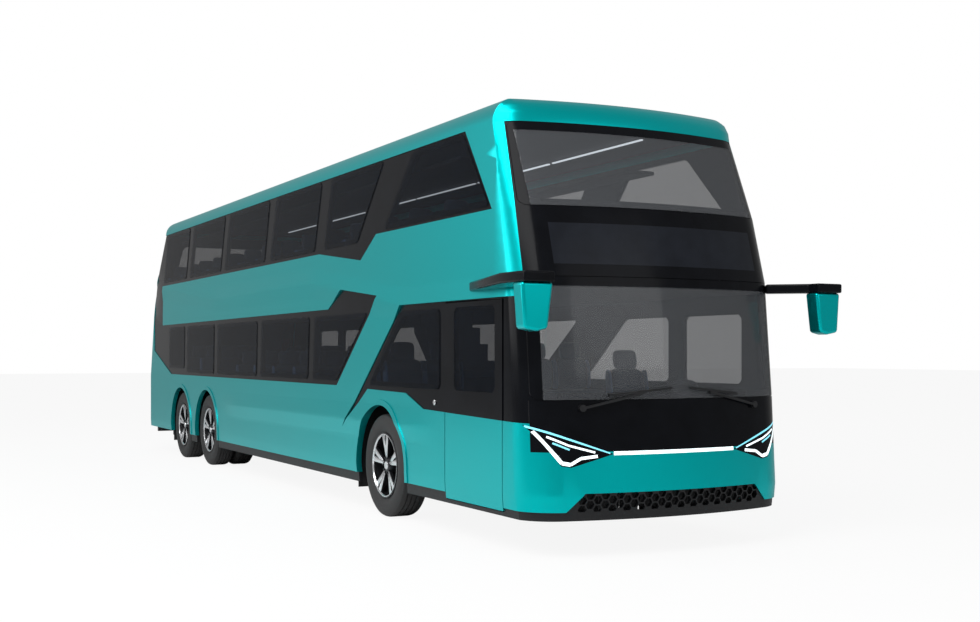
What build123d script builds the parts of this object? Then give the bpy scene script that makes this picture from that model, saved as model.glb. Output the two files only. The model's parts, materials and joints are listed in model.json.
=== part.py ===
from build123d import *
from math import atan2, cos, pi, radians, sin, sqrt
import os

os.makedirs("parts", exist_ok=True)

# Three-axle double-decker coach. Millimetres, +X forward, +Y left, +Z up.
# The ground is z = 0, and the origin lies under the middle of the whole length.

# Overall sizes
body_length = 13700
mirror_reach = 420
nose_x = (body_length + mirror_reach) / 2 - mirror_reach
wall = 50
glass_t = 8
fit_gap = 0.3
panel_gap = 8
move_gap = 10
pivot_inset = 10
pivot_radius = 4
sides = (-1, 1)

# Body form: plan outlines at rising heights, each a bowed nose, two corner arcs,
# straight sides and a tail with rounded corners, trimmed by the cross-section
body_half = 1300
side_trim = 1
crown_trim = 6
bow_radius = 4100
corner_radius = 380
tail_radius = 300
eaves_z = 3580
roof_radius = 220
roof_steps = 4
skirt_z = 300
# columns: height, nose set back, tail from the nose, half width
body_levels = [
    (skirt_z, 25, 13640, 1286),
    (500, 0, body_length, body_half),
    (1250, 45, body_length, body_half),
    (2260, 140, 13450, body_half),
    (2840, 310, 13220, 1289),
    (eaves_z, 640, 12700, 1243),
]

# Heights of the front and the skirt
sill_top_z = 400
light_bar_z = 820
screen_low_z = 1260
belt_low_z = 2260
belt_high_z = 2840
bumper_back = 650

# Road wheels
wheel_radius = 515
tyre_width = 300
twin_width = 280
twin_gap = 30
rim_radius = 325
tyre_face_y = 1268
front_axle_back = 3250
drive_axle_back = 9850
tag_axle_back = 11350
front_arch_radius = 620
rear_arch_radius = 600
arch_z = 500
kingpin_y = 880

# Decks
lower_floor_z = 500
lower_floor_t = 60
upper_floor_z = 2250
upper_floor_t = 80
wheel_box_top = 1125
wheel_box_t = 20
front_box_half = 705
box_inner_y = 500
rear_box_front_back = 9180
rear_box_rear_back = 12020
bay_front_back = 12120


def back(distance):
    """X of a place that lies this far behind the nose."""
    return nose_x - distance


def plan_section(z, nose_back, tail_back, inset):
    """Closed plan outline at one height, moved inwards by inset. It is a little wider
    than the body, because the cross-section trims its sides."""
    bow = bow_radius - inset
    corner = corner_radius - inset
    tail = tail_radius - inset
    half = body_half + side_trim - inset
    nose = back(nose_back) - inset
    end = back(tail_back) + inset
    reach = half - corner
    run = sqrt((bow - corner) ** 2 - reach**2)
    corner_x = nose - bow + run
    touch = atan2(reach, run)
    middle = (touch + pi / 2) / 2
    touch_x = nose - bow + bow * cos(touch)
    touch_y = bow * sin(touch)
    mid_x = corner_x + corner * cos(middle)
    mid_y = reach + corner * sin(middle)
    tail_mid = tail * (1 - sqrt(0.5))
    with BuildSketch(Plane.XY.offset(z)) as section:
        with BuildLine():
            ThreePointArc((touch_x, -touch_y), (nose, 0), (touch_x, touch_y))
            ThreePointArc((touch_x, touch_y), (mid_x, mid_y), (corner_x, half))
            Line((corner_x, half), (end + tail, half))
            ThreePointArc((end + tail, half), (end + tail_mid, half - tail_mid), (end, half - tail))
            Line((end, half - tail), (end, tail - half))
            ThreePointArc((end, tail - half), (end + tail_mid, tail_mid - half), (end + tail, -half))
            Line((end + tail, -half), (corner_x, -half))
            ThreePointArc((corner_x, -half), (mid_x, -mid_y), (touch_x, -touch_y))
        make_face()
    return section.sketch


def envelope(inset):
    """The whole body as one solid, moved inwards by inset: the plan outlines joined
    from the skirt to a little over the roof, trimmed by the cross-section with its
    rounded eaves."""
    turn = roof_radius - inset
    sections = [plan_section(z, nose, tail, inset) for z, nose, tail, _ in body_levels]
    eaves, eaves_nose, eaves_tail, eaves_half = body_levels[-1]
    for step in range(1, roof_steps + 1):
        angle = radians(90 * step / roof_steps)
        rise = eaves + (turn + crown_trim) * sin(angle)
        pull = (turn + crown_trim) * (1 - cos(angle))
        sections.append(plan_section(rise, eaves_nose + pull, eaves_tail - pull, inset))
    flank = [(half - inset, z) for z, _, _, half in body_levels]
    far_flank = [(-y, z) for y, z in reversed(flank)]
    crown_y = eaves_half - inset - turn
    bend = turn * sqrt(0.5)
    top = eaves + turn
    with BuildPart() as hull:
        loft(sections=sections, ruled=True)
        with BuildSketch(Plane.YZ.offset(back(body_length + 100))):
            with BuildLine():
                Polyline(*flank)
                ThreePointArc(flank[-1], (crown_y + bend, eaves + bend), (crown_y, top))
                Line((crown_y, top), (-crown_y, top))
                ThreePointArc((-crown_y, top), (-crown_y - bend, eaves + bend), far_flank[0])
                Polyline(*far_flank)
                Line(far_flank[-1], flank[0])
            make_face()
        extrude(amount=body_length + 200, mode=Mode.INTERSECT)
    return hull.part


def side_block(outline, side, corner=0, inner=0, outer=1500):
    """Block over an outline of (distance behind the nose, height), on one side, with its
    corners cut off by corner. The side is -1 on the right and 1 on the left."""
    with BuildPart() as block:
        with BuildSketch(Plane.XZ.offset(-side * inner)) as sketch:
            with BuildLine():
                Polyline(*[(back(d), z) for d, z in outline], close=True)
            make_face()
            if corner:
                chamfer(sketch.vertices(), corner)
        extrude(amount=-side * (outer - inner))
    return block.part


def front_block(outline, corner=0, low_back=1500, high_back=-200):
    """Block over an outline of (y, height), between two distances behind the nose."""
    with BuildPart() as block:
        with BuildSketch(Plane.YZ.offset(back(low_back))) as sketch:
            with BuildLine():
                Polyline(*outline, close=True)
            make_face()
            if corner:
                fillet(sketch.vertices(), corner)
        extrude(amount=low_back - high_back)
    return block.part


def box_block(d_low, d_high, y_low, y_high, z_low, z_high):
    """Plain box between two distances behind the nose, two widths and two heights."""
    with BuildPart() as block:
        with Locations((back((d_low + d_high) / 2), (y_low + y_high) / 2, (z_low + z_high) / 2)):
            Box(d_high - d_low, abs(y_high - y_low), z_high - z_low)
    return block.part


def wheel_block(axle_back, radius, height, side, inner):
    """Round block about an axle, from an inner width outwards."""
    with BuildPart() as block:
        with BuildSketch(Plane.XZ.offset(-side * inner)):
            with Locations((back(axle_back), height)):
                Circle(radius)
        extrude(amount=-side * (1500 - inner))
    return block.part


def save(builder, name):
    """Label a finished piece and write it."""
    builder.part.label = name
    export_step(builder.part, f"parts/{name}.step")


# The body's skins: outer face, behind the glass, and inner face of the wall
outer_form = envelope(0)
glass_back_form = envelope(glass_t)
frame_form = envelope(glass_t + fit_gap)
inner_form = envelope(wall)

with BuildPart() as shell:
    add(outer_form)
    add(inner_form, mode=Mode.SUBTRACT)

with BuildPart() as frame_shell:
    add(frame_form)
    add(inner_form, mode=Mode.SUBTRACT)

with BuildPart() as glass_skin:
    add(outer_form)
    add(glass_back_form, mode=Mode.SUBTRACT)

# Zones of the shell that the front and the rear pieces take from the side walls
post_lap = 15
front_zone_back = 950
rear_zone_back = 12300
zone_right = [(-(half - wall - post_lap), z) for z, _, _, half in body_levels]
zone_left = [(half - wall - post_lap, z) for z, _, _, half in reversed(body_levels)]
zone_outline = zone_right + zone_left
front_zone = front_block(zone_outline, low_back=front_zone_back)
rear_zone = front_block(zone_outline, low_back=14200, high_back=rear_zone_back)

# Side outlines, as distance behind the nose and height
upper_band = [
    (1450, eaves_z), (860, belt_high_z), (3380, belt_high_z), (3790, 2600), (5050, 2750),
    (12560, 2740), (12560, 2095), (13190, 2095), (13140, 2700), (12990, 2840),
    (12940, 3260), (12700, eaves_z),
]
lower_band = [
    (12560, 2095), (4740, 2120), (4310, 2320), (3300, 2215), (4470, 1290),
    (11980, 1300), (13170, 1680), (13190, 2095),
]
front_band = [
    (0, 2100), (2720, 2100), (4290, 850), (3580, 1272), (2620, 1258),
    (2210, 1120), (1760, 1110), (0, 1070),
]
door_front_back = 650
door_rear_back = 1750
door_low_z = 335
door_high_z = 2092

# Window panes. Columns: deck, rear end at the bottom and top, front end at the bottom
# and top, all as distances behind the nose, then the bottom and top heights
pane_top_z = eaves_z - 12
pane_table = [
    ("upper", 3180, 2560, 920, 1500, 2870, pane_top_z),
    ("upper", 4890, 4770, 3900, 3290, 2790, pane_top_z),
    ("upper", 6850, 6720, 5210, 5090, 2790, pane_top_z),
    ("upper", 8920, 8800, 7080, 7000, 2790, pane_top_z),
    ("upper", 10860, 10760, 9120, 9030, 2790, pane_top_z),
    ("upper", 12520, 12460, 11060, 10980, 2790, pane_top_z),
    ("lower", 5240, 5180, 4480, 3600, 1340, 2050),
    ("lower", 7220, 7180, 5420, 5360, 1340, 2050),
    ("lower", 9280, 9240, 7400, 7360, 1340, 2050),
    ("lower", 11000, 10960, 9460, 9420, 1340, 2050),
    ("lower", 12140, 12100, 11160, 11120, 1400, 2050),
    ("lower", 3560, 2750, 1860, 1860, 1310, 2040),
]
driver_pane = ("lower", 1700, 1700, 720, 720, 1310, 2040)
frame_lap = 45
pane_corner = 40


def pane_outline(pane, shrink=0):
    """Outline of a pane, made smaller by shrink for the opening behind it."""
    deck, rear_low, rear_high, front_low, front_high, low_z, high_z = pane
    return [
        (rear_low - shrink, low_z + shrink),
        (front_low + shrink, low_z + shrink),
        (front_high + shrink, high_z - shrink),
        (rear_high - shrink, high_z - shrink),
    ]


def pane_blocks(deck, side, shrink=0):
    """Blocks over every pane of one deck on one side."""
    panes = pane_table + ([driver_pane] if side > 0 else [])
    outlines = [pane_outline(pane, shrink) for pane in panes if pane[0] == deck]
    return [side_block(outline, side, pane_corner, inner=1100) for outline in outlines]


# Side walls: teal panels from the sill to the eaves, open at the glazing bands,
# the wheel arches and, on the right, the passenger door
arches = [
    (front_axle_back, front_arch_radius),
    (drive_axle_back, rear_arch_radius),
    (tag_axle_back, rear_arch_radius),
]
above_eaves = box_block(-200, 14200, -1500, 1500, eaves_z, 4200)
below_sill = box_block(-200, 14200, -1500, 1500, 0, sill_top_z)
door_outline = [
    (door_front_back, door_low_z), (door_rear_back, door_low_z),
    (door_rear_back, door_high_z), (door_front_back, door_high_z),
]
bumper_corner = [
    (-200, sill_top_z), (bumper_back, sill_top_z), (bumper_back, 1110), (-200, 1110),
]


def side_wall(side):
    """Panels of one side: the shell less the bands, arches, ends, roof and bumper."""
    add(shell.part)
    add(box_block(-200, 14200, 0, side * 1500, 0, 4200), mode=Mode.INTERSECT)
    for taken in (above_eaves, below_sill, front_zone, rear_zone):
        add(taken, mode=Mode.SUBTRACT)
    for outline in (upper_band, lower_band, front_band, bumper_corner):
        add(side_block(outline, side), mode=Mode.SUBTRACT)
    for axle_back, radius in arches:
        add(wheel_block(axle_back, radius, arch_z, side, 1000), mode=Mode.SUBTRACT)


# Flares: raised lips round the wheel arches, part of the side panels
flare_width = 55
flare_proud = 10
flare_form = envelope(-flare_proud)


def arch_flares(side):
    """Raised lips of one side: rings round the arches between body and flare face."""
    with BuildPart() as flares:
        for axle_back, radius in arches:
            add(wheel_block(axle_back, radius + flare_width, arch_z, side, 1000))
        for axle_back, radius in arches:
            add(wheel_block(axle_back, radius, arch_z, side, 900), mode=Mode.SUBTRACT)
        add(flare_form, mode=Mode.INTERSECT)
        add(outer_form, mode=Mode.SUBTRACT)
        add(below_sill, mode=Mode.SUBTRACT)
    return flares.part


flares_right, flares_left = [arch_flares(side) for side in sides]
door_opening = side_block(door_outline, -1)

with BuildPart() as side_wall_right:
    side_wall(-1)
    add(door_opening, mode=Mode.SUBTRACT)
    add(flares_right)
save(side_wall_right, "side_wall_right")

with BuildPart() as side_wall_left:
    side_wall(1)
    add(flares_left)
save(side_wall_left, "side_wall_left")

with BuildPart() as roof_panel:
    add(shell.part)
    add(above_eaves, mode=Mode.INTERSECT)
save(roof_panel, "roof_panel")

def band_frame(outline, deck, side):
    """Black frame that fills one glazing band of one side, set behind the glass."""
    openings = pane_blocks(deck, side, frame_lap)
    with BuildPart() as frame:
        add(frame_shell.part)
        add(side_block(outline, side), mode=Mode.INTERSECT)
        for taken in (above_eaves, front_zone, rear_zone):
            add(taken, mode=Mode.SUBTRACT)
        for axle_back, radius in arches:
            add(wheel_block(axle_back, radius, arch_z, side, 1000), mode=Mode.SUBTRACT)
        if side < 0:
            add(door_opening, mode=Mode.SUBTRACT)
        add(openings, mode=Mode.SUBTRACT)
    return frame.part


def pane_solid(block):
    """Pane of glass that fills one block, flush with the body."""
    with BuildPart() as pane:
        add(glass_skin.part)
        add(block, mode=Mode.INTERSECT)
    return pane.part


# Black glazing frames behind the side glass
upper_solids = [band_frame(upper_band, "upper", side) for side in sides]
lower_solids = [band_frame(band, "lower", side) for side in sides for band in (lower_band, front_band)]

with BuildPart() as upper_frames:
    add(upper_solids)
save(upper_frames, "upper_frames")

with BuildPart() as lower_frames:
    add(lower_solids)
save(lower_frames, "lower_frames")

# Side glass, flush with the outer face
for deck in ("upper", "lower"):
    panes = [pane_solid(block) for side in sides for block in pane_blocks(deck, side)]
    with BuildPart() as side_glass:
        add(panes)
    save(side_glass, f"{deck}_side_glass")

# Front: black structure behind the two screens, with a beam at each deck edge
screen_lap = 55
upper_screen = [
    (-1205, belt_high_z + 6), (1205, belt_high_z + 6), (1165, eaves_z - 4), (-1165, eaves_z - 4),
]
lower_screen = [
    (-1228, screen_low_z + 6), (1228, screen_low_z + 6), (1228, belt_low_z - 6), (-1228, belt_low_z - 6),
]


def shrunk(outline, amount):
    """Four-cornered outline about y = 0, moved inwards by amount."""
    mid_z = (outline[0][1] + outline[2][1]) / 2
    return [
        (y - amount if y > 0 else y + amount, z + amount if z < mid_z else z - amount)
        for y, z in outline
    ]


screens = [("upper_windscreen", upper_screen), ("lower_windscreen", lower_screen)]
with BuildPart() as front_frame:
    add(frame_shell.part)
    add(front_zone, mode=Mode.INTERSECT)
    add(box_block(-200, front_zone_back, -1500, 1500, screen_low_z, eaves_z), mode=Mode.INTERSECT)
    for name, outline in screens:
        opening = front_block(shrunk(outline, screen_lap), 80, front_zone_back)
        add(opening, mode=Mode.SUBTRACT)
save(front_frame, "front_frame")

for name, outline in screens:
    with BuildPart() as screen:
        add(glass_skin.part)
        add(front_block(outline, 60, front_zone_back), mode=Mode.INTERSECT)
    save(screen, name)

with BuildPart() as belt_panel:
    add(glass_skin.part)
    add(front_zone, mode=Mode.INTERSECT)
    add(box_block(-200, front_zone_back, -1500, 1500, belt_low_z, belt_high_z), mode=Mode.INTERSECT)
save(belt_panel, "belt_panel")

# Headlamps, nose panel and bumper
lamp_outline = [(1270, 1066), (1040, 740), (960, 728), (600, 830)]
lamp_back = bumper_back - panel_gap
lamp_blocks = [front_block([(side * y, z) for y, z in lamp_outline], 0, lamp_back) for side in sides]
bar_height = 30
band_blocks = [side_block(front_band, side, inner=1200) for side in sides]
lip_top_z = 372
grille_top_z = 520
grille_outline = [(-1000, lip_top_z), (1000, lip_top_z), (850, grille_top_z), (-850, grille_top_z)]

with BuildPart() as headlamps:
    add(shell.part)
    add(lamp_blocks, mode=Mode.INTERSECT)
save(headlamps, "headlamps")

with BuildPart() as nose_panel:
    add(shell.part)
    add(front_zone, mode=Mode.INTERSECT)
    low = light_bar_z + bar_height
    add(box_block(-200, front_zone_back, -1500, 1500, low, screen_low_z), mode=Mode.INTERSECT)
    add(lamp_blocks, mode=Mode.SUBTRACT)
save(nose_panel, "nose_panel")

with BuildPart() as light_bar:
    add(shell.part)
    add(front_zone, mode=Mode.INTERSECT)
    high = light_bar_z + bar_height
    add(box_block(-200, front_zone_back, -600, 600, light_bar_z, high), mode=Mode.INTERSECT)
save(light_bar, "light_bar")

with BuildPart() as front_bumper:
    add(shell.part)
    add(box_block(-200, bumper_back, -1500, 1500, lip_top_z, 1110), mode=Mode.INTERSECT)
    add(band_blocks, mode=Mode.SUBTRACT)
    add(box_block(-200, front_zone_back, -600, 600, light_bar_z, 1300), mode=Mode.SUBTRACT)
    add(front_block([(-1235, 1300), (1235, 1300), (1235, low), (-1235, low)]), mode=Mode.SUBTRACT)
    add(lamp_blocks, mode=Mode.SUBTRACT)
    add(front_block(grille_outline, 0, bumper_back), mode=Mode.SUBTRACT)
save(front_bumper, "front_bumper")

# Lower grille, set back in the bumper: a honeycomb of two rows of cells
grille_setback = 12
grille_form = envelope(grille_setback)
cell_apothem = 37
cell_wall = 10
cell_columns = 28
cell_rows = 2
with BuildPart() as bumper_grille:
    add(grille_form)
    add(inner_form, mode=Mode.SUBTRACT)
    add(front_block(grille_outline, 0, bumper_back), mode=Mode.INTERSECT)
    with BuildSketch(Plane.YZ.offset(back(bumper_back))):
        with Locations((0, (lip_top_z + grille_top_z) / 2)):
            with HexLocations(cell_apothem, cell_columns, cell_rows):
                RegularPolygon(cell_apothem - cell_wall / 2, 6, major_radius=False, rotation=0)
    extrude(amount=bumper_back + 100, mode=Mode.SUBTRACT)
save(bumper_grille, "bumper_grille")

# Dark skirt: front lip and sills, set in a little, open at the wheels and the door
trim_inset = 14
trim_form = envelope(trim_inset)
with BuildPart() as lower_trim:
    add(trim_form)
    add(inner_form, mode=Mode.SUBTRACT)
    add(box_block(-200, 14200, -1500, 1500, skirt_z, sill_top_z), mode=Mode.INTERSECT)
    add(box_block(-200, bumper_back, -1500, 1500, lip_top_z, sill_top_z), mode=Mode.SUBTRACT)
    for side in sides:
        for axle_back, radius in arches:
            add(box_block(axle_back - radius, axle_back + radius, side * 1000, side * 1500, 0, 900),
                mode=Mode.SUBTRACT)
    add(box_block(tag_axle_back, 14200, -1500, 1500, 0, 900), mode=Mode.SUBTRACT)
    add(door_opening, mode=Mode.SUBTRACT)
save(lower_trim, "lower_trim")

# Rear: wall with a window and a hinged engine lid, and upright tail lamps
lid_half = 900
lid_low_z = 560
lid_high_z = 1240
rear_low_z = sill_top_z
rear_pane = [(-960, 2790), (960, 2790), (900, 3420), (-900, 3420)]
tail_lamp = [(1010, 1300), (1170, 1300), (1170, 1900), (1080, 1900)]
tail_blocks = [
    front_block([(side * y, z) for y, z in tail_lamp], 0, 14200, rear_zone_back) for side in sides
]
lid_opening = [(-lid_half, lid_low_z), (lid_half, lid_low_z), (lid_half, lid_high_z), (-lid_half, lid_high_z)]
rear_window_block = front_block(rear_pane, 80, 14200, rear_zone_back)
with BuildPart() as rear_wall:
    add(shell.part)
    add(rear_zone, mode=Mode.INTERSECT)
    add(box_block(rear_zone_back, 14200, -1500, 1500, rear_low_z, eaves_z), mode=Mode.INTERSECT)
    add(rear_window_block, mode=Mode.SUBTRACT)
    add(front_block(lid_opening, 0, 14200, rear_zone_back), mode=Mode.SUBTRACT)
    add(tail_blocks, mode=Mode.SUBTRACT)
save(rear_wall, "rear_wall")

with BuildPart() as rear_window:
    add(outer_form)
    add(envelope(2 * glass_t), mode=Mode.SUBTRACT)
    add(rear_window_block, mode=Mode.INTERSECT)
save(rear_window, "rear_window")

with BuildPart() as tail_lamps:
    add(shell.part)
    add(tail_blocks, mode=Mode.INTERSECT)
save(tail_lamps, "tail_lamps")

louvre_count = 7
louvre_pitch = 60
with BuildPart() as engine_lid:
    add(shell.part)
    add(box_block(13000, 14200, -lid_half + move_gap, lid_half - move_gap,
                  lid_low_z + move_gap, lid_high_z - move_gap), mode=Mode.INTERSECT)
    with BuildSketch(Plane.YZ.offset(back(14200))):
        with Locations((0, (lid_low_z + lid_high_z) / 2)):
            with GridLocations(0, louvre_pitch, 1, louvre_count):
                Rectangle(1300, 24)
    extrude(amount=1200, mode=Mode.SUBTRACT)
    with BuildSketch(Plane.XZ.offset(fit_gap - lid_half)):
        with Locations((back(body_length) + pivot_inset, lid_high_z - move_gap - pivot_inset)):
            Circle(pivot_radius)
    extrude(amount=2 * (lid_half - fit_gap))
save(engine_lid, "engine_lid")

# Passenger door: one leaf with a fixed pane
with BuildPart() as passenger_door:
    add(shell.part)
    add(box_block(door_front_back + move_gap, door_rear_back - move_gap, -1500, -1000,
                  door_low_z + move_gap, door_high_z - move_gap), mode=Mode.INTERSECT)
    pane = side_block([(1560, 1310), (790, 1310), (790, 2040), (1560, 2040)], -1, 40)
    add(pane, mode=Mode.SUBTRACT)
    with BuildSketch(Plane.XY.offset(door_high_z - move_gap)):
        with Locations((back(door_front_back + move_gap + pivot_inset), pivot_inset - body_half)):
            Circle(pivot_radius)
    extrude(amount=move_gap - fit_gap)
save(passenger_door, "passenger_door")

with BuildPart() as door_glass:
    add(outer_form)
    add(envelope(2 * glass_t), mode=Mode.SUBTRACT)
    add(pane, mode=Mode.INTERSECT)
save(door_glass, "door_glass")

# Chassis: two rails, cross tubes and outriggers up to the floor
rail_y = 400
rail_w = 90
rail_low_z = 300
rail_front_back = 600
rail_rear_back = 13300
floor_under_z = lower_floor_z - lower_floor_t
cross_members = [700, 2300, 4200, 5700, 7200, 8700, 12100, 13200]
arch_clear = 120
jack_pad_backs = [4900, 12600]
jack_pad_length = 140
jack_pad_drop = 20
with BuildPart() as chassis_frame:
    with Locations((back((rail_front_back + rail_rear_back) / 2), 0, (rail_low_z + floor_under_z) / 2)):
        with GridLocations(0, 2 * rail_y, 1, 2):
            Box(rail_rear_back - rail_front_back, rail_w, floor_under_z - rail_low_z)
    with Locations([(back(d), 0, (rail_low_z + floor_under_z) / 2) for d in cross_members]):
        Box(70, 2 * (body_half - wall - 20), floor_under_z - rail_low_z - 30)
    for d in jack_pad_backs:
        for side in sides:
            add(box_block(d - jack_pad_length / 2, d + jack_pad_length / 2, side * (rail_y - rail_w / 2),
                          side * (rail_y + rail_w / 2), rail_low_z - jack_pad_drop, rail_low_z))
save(chassis_frame, "chassis_frame")

# Lower deck: floor plate with boxes over the wheels, and a raised aisle over the axles
floor_front_back = 700
floor_rear_back = 13050
floor_half = body_half - wall
aisle_z = 800
rear_box = (rear_box_front_back, rear_box_rear_back)
wheel_boxes = [(front_axle_back - front_box_half, front_axle_back + front_box_half), rear_box]
with BuildPart() as lower_floor:
    add(box_block(floor_front_back, floor_rear_back, -floor_half, floor_half, floor_under_z, lower_floor_z))
    add(box_block(rear_box_front_back - wheel_box_t, rear_box_rear_back + wheel_box_t,
                  -box_inner_y, box_inner_y, floor_under_z, aisle_z))
    add(box_block(*rear_box, -box_inner_y, box_inner_y, 0, aisle_z - lower_floor_t), mode=Mode.SUBTRACT)
    for d_low, d_high in wheel_boxes:
        for side in sides:
            add(box_block(d_low - wheel_box_t, d_high + wheel_box_t, side * (box_inner_y - wheel_box_t),
                          side * floor_half, floor_under_z, wheel_box_top + wheel_box_t))
            add(box_block(d_low, d_high, side * box_inner_y, side * (floor_half + 1),
                          floor_under_z, wheel_box_top), mode=Mode.SUBTRACT)
    for axle_back in (drive_axle_back, tag_axle_back):
        add(box_block(axle_back - arch_clear, axle_back + arch_clear, -1000, 1000, 0,
                      wheel_radius + arch_clear), mode=Mode.SUBTRACT)
    add(box_block(door_front_back - move_gap, door_rear_back + move_gap, -body_half, move_gap - floor_half,
                  floor_under_z, lower_floor_z), mode=Mode.SUBTRACT)
    add(inner_form, mode=Mode.INTERSECT)
save(lower_floor, "lower_floor")

# Upper deck floor, with the stair well on the left
well_front_back = 4650
well_rear_back = 6450
well_inner_y = 420
upper_floor_under_z = upper_floor_z - upper_floor_t
with BuildPart() as upper_floor:
    add(inner_form)
    add(box_block(-200, 14200, -1500, 1500, upper_floor_under_z, upper_floor_z), mode=Mode.INTERSECT)
    add(box_block(well_front_back, well_rear_back, well_inner_y, floor_half - 60, 2000, 2400),
        mode=Mode.SUBTRACT)
save(upper_floor, "upper_floor")

# Stairs: treads between two strings, rising to the rear from the lower floor
step_count = 8
stair_low_back = 4600
step_rise = (upper_floor_under_z - lower_floor_z) / step_count
stair_top_back = well_rear_back - 150
step_go = (stair_top_back - stair_low_back) / step_count
stair_waist = 60
stair_foot = 260
stair_inner_y = well_inner_y + 20
stair_outer_y = floor_half - 80
steps = [(stair_low_back + step_go * i, lower_floor_z + step_rise * (i + 1)) for i in range(step_count)]
stair_line = [(stair_low_back, lower_floor_z)]
for d, z in steps:
    stair_line += [(d, z), (d + step_go, z)]
stair_line += [
    (stair_top_back, upper_floor_under_z - step_rise - stair_waist),
    (stair_low_back + stair_foot, lower_floor_z),
]
with BuildPart() as stairs:
    add(side_block(stair_line, 1, inner=stair_inner_y, outer=stair_outer_y))
save(stairs, "stairs")

# Engine and its gearbox as one plain block at the rear, on the floor
engine_h = 560
with BuildPart() as engine_block:
    with Locations((back(12900), 0, lower_floor_z + engine_h / 2)):
        Box(1150, 1500, engine_h)
    fillet(engine_block.edges().filter_by(Axis.X), 60)
save(engine_block, "engine_block")

# Rear deck over the engine
with BuildPart() as engine_deck:
    add(inner_form)
    add(box_block(bay_front_back, 13600, -1500, 1500, 1200, 1260), mode=Mode.INTERSECT)
    add(box_block(bay_front_back, bay_front_back + 40, -floor_half, floor_half, lower_floor_z, 1200))
save(engine_deck, "engine_deck")

# Road wheels. Columns: name, axle behind the nose, middles of the tyres from y = 0,
# tyre width
wheel_z = wheel_radius
rim_gap = 0.3
single_y = tyre_face_y - tyre_width / 2
twin_outer_y = tyre_face_y - twin_width / 2
twin_inner_y = twin_outer_y - twin_width - twin_gap
wheel_table = [
    ("front", front_axle_back, [single_y], tyre_width),
    ("drive", drive_axle_back, [twin_outer_y, twin_inner_y], twin_width),
    ("tag", tag_axle_back, [single_y], tyre_width),
]
rim_face_setback = 20
spoke_depth = 42
spoke_count = 5
hub_radius = 120
rim_wall = 22
barrel_share = 0.86
lip_width = 18
web_reach = 60
web_t = 20
hub_end = {"front": 1030, "drive": 700, "tag": 1030}


wheel_sides = 40
bead_inset = 32
shoulder_inset = 26
tread_inset = 60
bulge_radius = 425
shoulder_drop = 10


def flat_ring(axle_back, y, radius):
    """Outline of many flats about an axle, at one width, with a flat at the bottom."""
    with BuildSketch(Plane.XZ.offset(-y)) as ring:
        with Locations((back(axle_back), wheel_z)):
            RegularPolygon(radius, wheel_sides, major_radius=False, rotation=180 / wheel_sides)
    return ring.sketch


def tyre_ring(axle_back, middle_y, width):
    """One tyre: bead seat, side walls dished to the bead, shoulders and tread, in flats."""
    half = width / 2
    seat = rim_radius + rim_gap
    # columns: radius, distance in from the side face
    edge = [(bulge_radius, 0), (wheel_radius - shoulder_drop, shoulder_inset), (wheel_radius, tread_inset)]
    stations = [(radius, inset - half) for radius, inset in edge]
    stations += [(radius, half - inset) for radius, inset in reversed(edge)]
    outer = [flat_ring(axle_back, middle_y + y, radius) for radius, y in stations]
    bore = flat_ring(axle_back, middle_y + half + 1, seat)
    dishes = [
        [flat_ring(axle_back, middle_y + hand * half, bulge_radius),
         flat_ring(axle_back, middle_y + hand * (half - bead_inset), seat)]
        for hand in sides
    ]
    with BuildPart() as tyre:
        loft(sections=outer, ruled=True)
        for dish in dishes:
            loft(sections=dish, ruled=True, mode=Mode.SUBTRACT)
        extrude(bore, amount=width + 2, mode=Mode.SUBTRACT)
    return tyre.part


def wheel_rim(axle_back, middles, width, side, inner_end):
    """Alloy wheel: barrels, five split spokes on the outer face, and a hub."""
    face_y = tyre_face_y - rim_face_setback
    face = Plane((back(axle_back), side * face_y, wheel_z), x_dir=(1, 0, 0), z_dir=(0, side, 0))
    run = width * barrel_share
    with BuildPart() as rim:
        for middle in middles:
            barrel_end = middle + run / 2 - face_y
            with BuildSketch(face.offset(barrel_end)):
                RegularPolygon(rim_radius, wheel_sides, major_radius=False, rotation=180 / wheel_sides)
                RegularPolygon(rim_radius - rim_wall, wheel_sides, major_radius=False,
                               rotation=180 / wheel_sides, mode=Mode.SUBTRACT)
            extrude(amount=-run)
        for middle in middles[1:]:
            with BuildSketch(face.offset(middle + web_reach - face_y)):
                RegularPolygon(rim_radius - 1, wheel_sides, major_radius=False, rotation=180 / wheel_sides)
            extrude(amount=-web_t)
        with BuildSketch(face):
            RegularPolygon(rim_radius, wheel_sides, major_radius=False, rotation=180 / wheel_sides)
            RegularPolygon(rim_radius - rim_wall - lip_width, wheel_sides, major_radius=False,
                           rotation=180 / wheel_sides, mode=Mode.SUBTRACT)
            with PolarLocations(0, spoke_count):
                Polygon((60, -38), (rim_radius - 20, -78), (rim_radius - 20, 78), (60, 38), align=None)
            with PolarLocations(0, spoke_count):
                Polygon((135, -9), (rim_radius - 34, -34), (rim_radius - 34, 34), (135, 9),
                        align=None, mode=Mode.SUBTRACT)
            Circle(hub_radius - 20)
        extrude(amount=-spoke_depth)
        with BuildSketch(face.offset(-spoke_depth)):
            Circle(hub_radius)
        extrude(amount=-(face_y - spoke_depth - inner_end))
    return rim.part


for name, axle_back, middles, width in wheel_table:
    for side, hand in ((-1, "right"), (1, "left")):
        rings = [tyre_ring(axle_back, side * middle, width) for middle in middles]
        with BuildPart() as tyre_node:
            add(rings)
        save(tyre_node, f"tyre_{name}_{hand}")
        rim = wheel_rim(axle_back, middles, width, side, hub_end[name])
        with BuildPart() as rim_node:
            add(rim)
        save(rim_node, f"rim_{name}_{hand}")

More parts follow.
